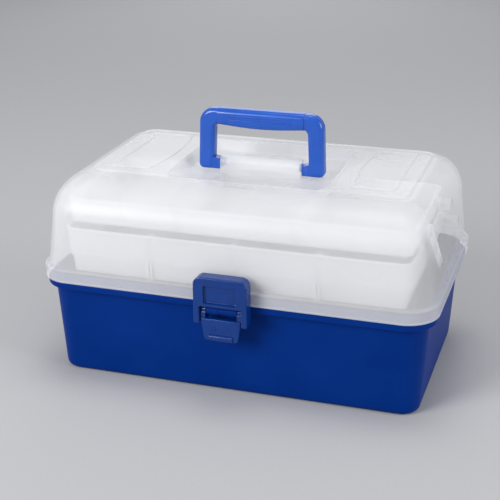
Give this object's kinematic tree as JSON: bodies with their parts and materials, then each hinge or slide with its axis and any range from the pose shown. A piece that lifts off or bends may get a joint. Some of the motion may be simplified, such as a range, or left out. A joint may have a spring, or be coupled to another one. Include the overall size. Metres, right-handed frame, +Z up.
{
  "type": "art supply box",
  "caption": "Latching carry case with a see-through domed lid, swing handle and cantilever trays that rise and swing back as the lid opens.",
  "frame": {"origin": "middle of the base's underside", "axes": "+X along the length to the right, front towards -Y, +Z up"},
  "size_m": [0.33, 0.2195, 0.2154],
  "materials": {
    "base_blue": "satin moulded",
    "handle_blue": "satin moulded",
    "latch_blue": "satin moulded",
    "lid_plastic": "milky, see-through",
    "tray_plastic": "milky, see-through",
    "arm_plastic": "moulded",
    "rivet_plastic": "moulded",
    "pin_steel": "drawn wire"
  },
  "bodies": {
    "base": {"base_shell": "base_blue", "base_arm_pin_left": "rivet_plastic", "base_arm_pin_right": "rivet_plastic", "hinge_pin_left": "pin_steel", "hinge_pin_right": "pin_steel", "latch_lever_pin": "latch_blue"},
    "lid": {"lid_shell": "lid_plastic", "lower_lid_pin_left": "rivet_plastic", "lower_lid_pin_right": "rivet_plastic", "upper_lid_pin_left": "rivet_plastic", "upper_lid_pin_right": "rivet_plastic"},
    "lower_tray": {"lower_tray": "tray_plastic", "lower_tray_dividers": "tray_plastic"},
    "upper_tray": {"upper_tray": "tray_plastic", "upper_tray_dividers": "tray_plastic"},
    "link_arm_left": {"link_arm_left": "arm_plastic", "lower_arm_pin_left": "rivet_plastic", "upper_arm_pin_left": "rivet_plastic"},
    "link_arm_right": {"link_arm_right": "arm_plastic", "lower_arm_pin_right": "rivet_plastic", "upper_arm_pin_right": "rivet_plastic"},
    "handle": {"handle": "handle_blue"},
    "latch_lever": {"latch_lever": "latch_blue"},
    "latch_hasp": {"latch_hasp": "latch_blue", "latch_hasp_pins": "latch_blue"}
  },
  "joints": [
    {"name": "lid_hinge", "type": "hinge", "parent": "base", "child": "lid", "pos_m": [0, 0.1035, 0.08], "axis": [-1, 0, 0], "range_deg": [0, 92]},
    {"name": "lower_tray_pivot", "type": "hinge", "parent": "lid", "child": "lower_tray", "pos_m": [0, 0.06174, 0.11364], "axis": [-1, 0, 0], "range_deg": [-92, 0]},
    {"name": "upper_tray_pivot", "type": "hinge", "parent": "lid", "child": "upper_tray", "pos_m": [0, 0.0315, 0.138], "axis": [-1, 0, 0], "range_deg": [-92, 0]},
    {"name": "link_arm_left_pivot", "type": "hinge", "parent": "base", "child": "link_arm_left", "pos_m": [0, 0.036, 0.08], "axis": [-1, 0, 0], "range_deg": [0, 92]},
    {"name": "link_arm_right_pivot", "type": "hinge", "parent": "base", "child": "link_arm_right", "pos_m": [0, 0.036, 0.08], "axis": [-1, 0, 0], "range_deg": [0, 92]},
    {"name": "handle_swing", "type": "hinge", "parent": "lid", "child": "handle", "pos_m": [0, 0, 0.169], "axis": [1, 0, 0], "range_deg": [-86, 80]},
    {"name": "latch_lever_pivot", "type": "hinge", "parent": "base", "child": "latch_lever", "pos_m": [0, -0.104, 0.0801], "axis": [-1, 0, 0], "range_deg": [0, 110]},
    {"name": "latch_hasp_pivot", "type": "hinge", "parent": "latch_lever", "child": "latch_hasp", "pos_m": [0, -0.1065, 0.0744], "axis": [-1, 0, 0], "range_deg": [-121, 0]}
  ],
  "couplings": [
    {"joint": "lower_tray_pivot", "follows": "lid_hinge", "ratio": -1},
    {"joint": "upper_tray_pivot", "follows": "lid_hinge", "ratio": -1},
    {"joint": "link_arm_left_pivot", "follows": "lid_hinge", "ratio": 1},
    {"joint": "link_arm_right_pivot", "follows": "lid_hinge", "ratio": 1},
    {"joint": "latch_hasp_pivot", "follows": "latch_lever_pivot", "ratio": -1.1}
  ]
}
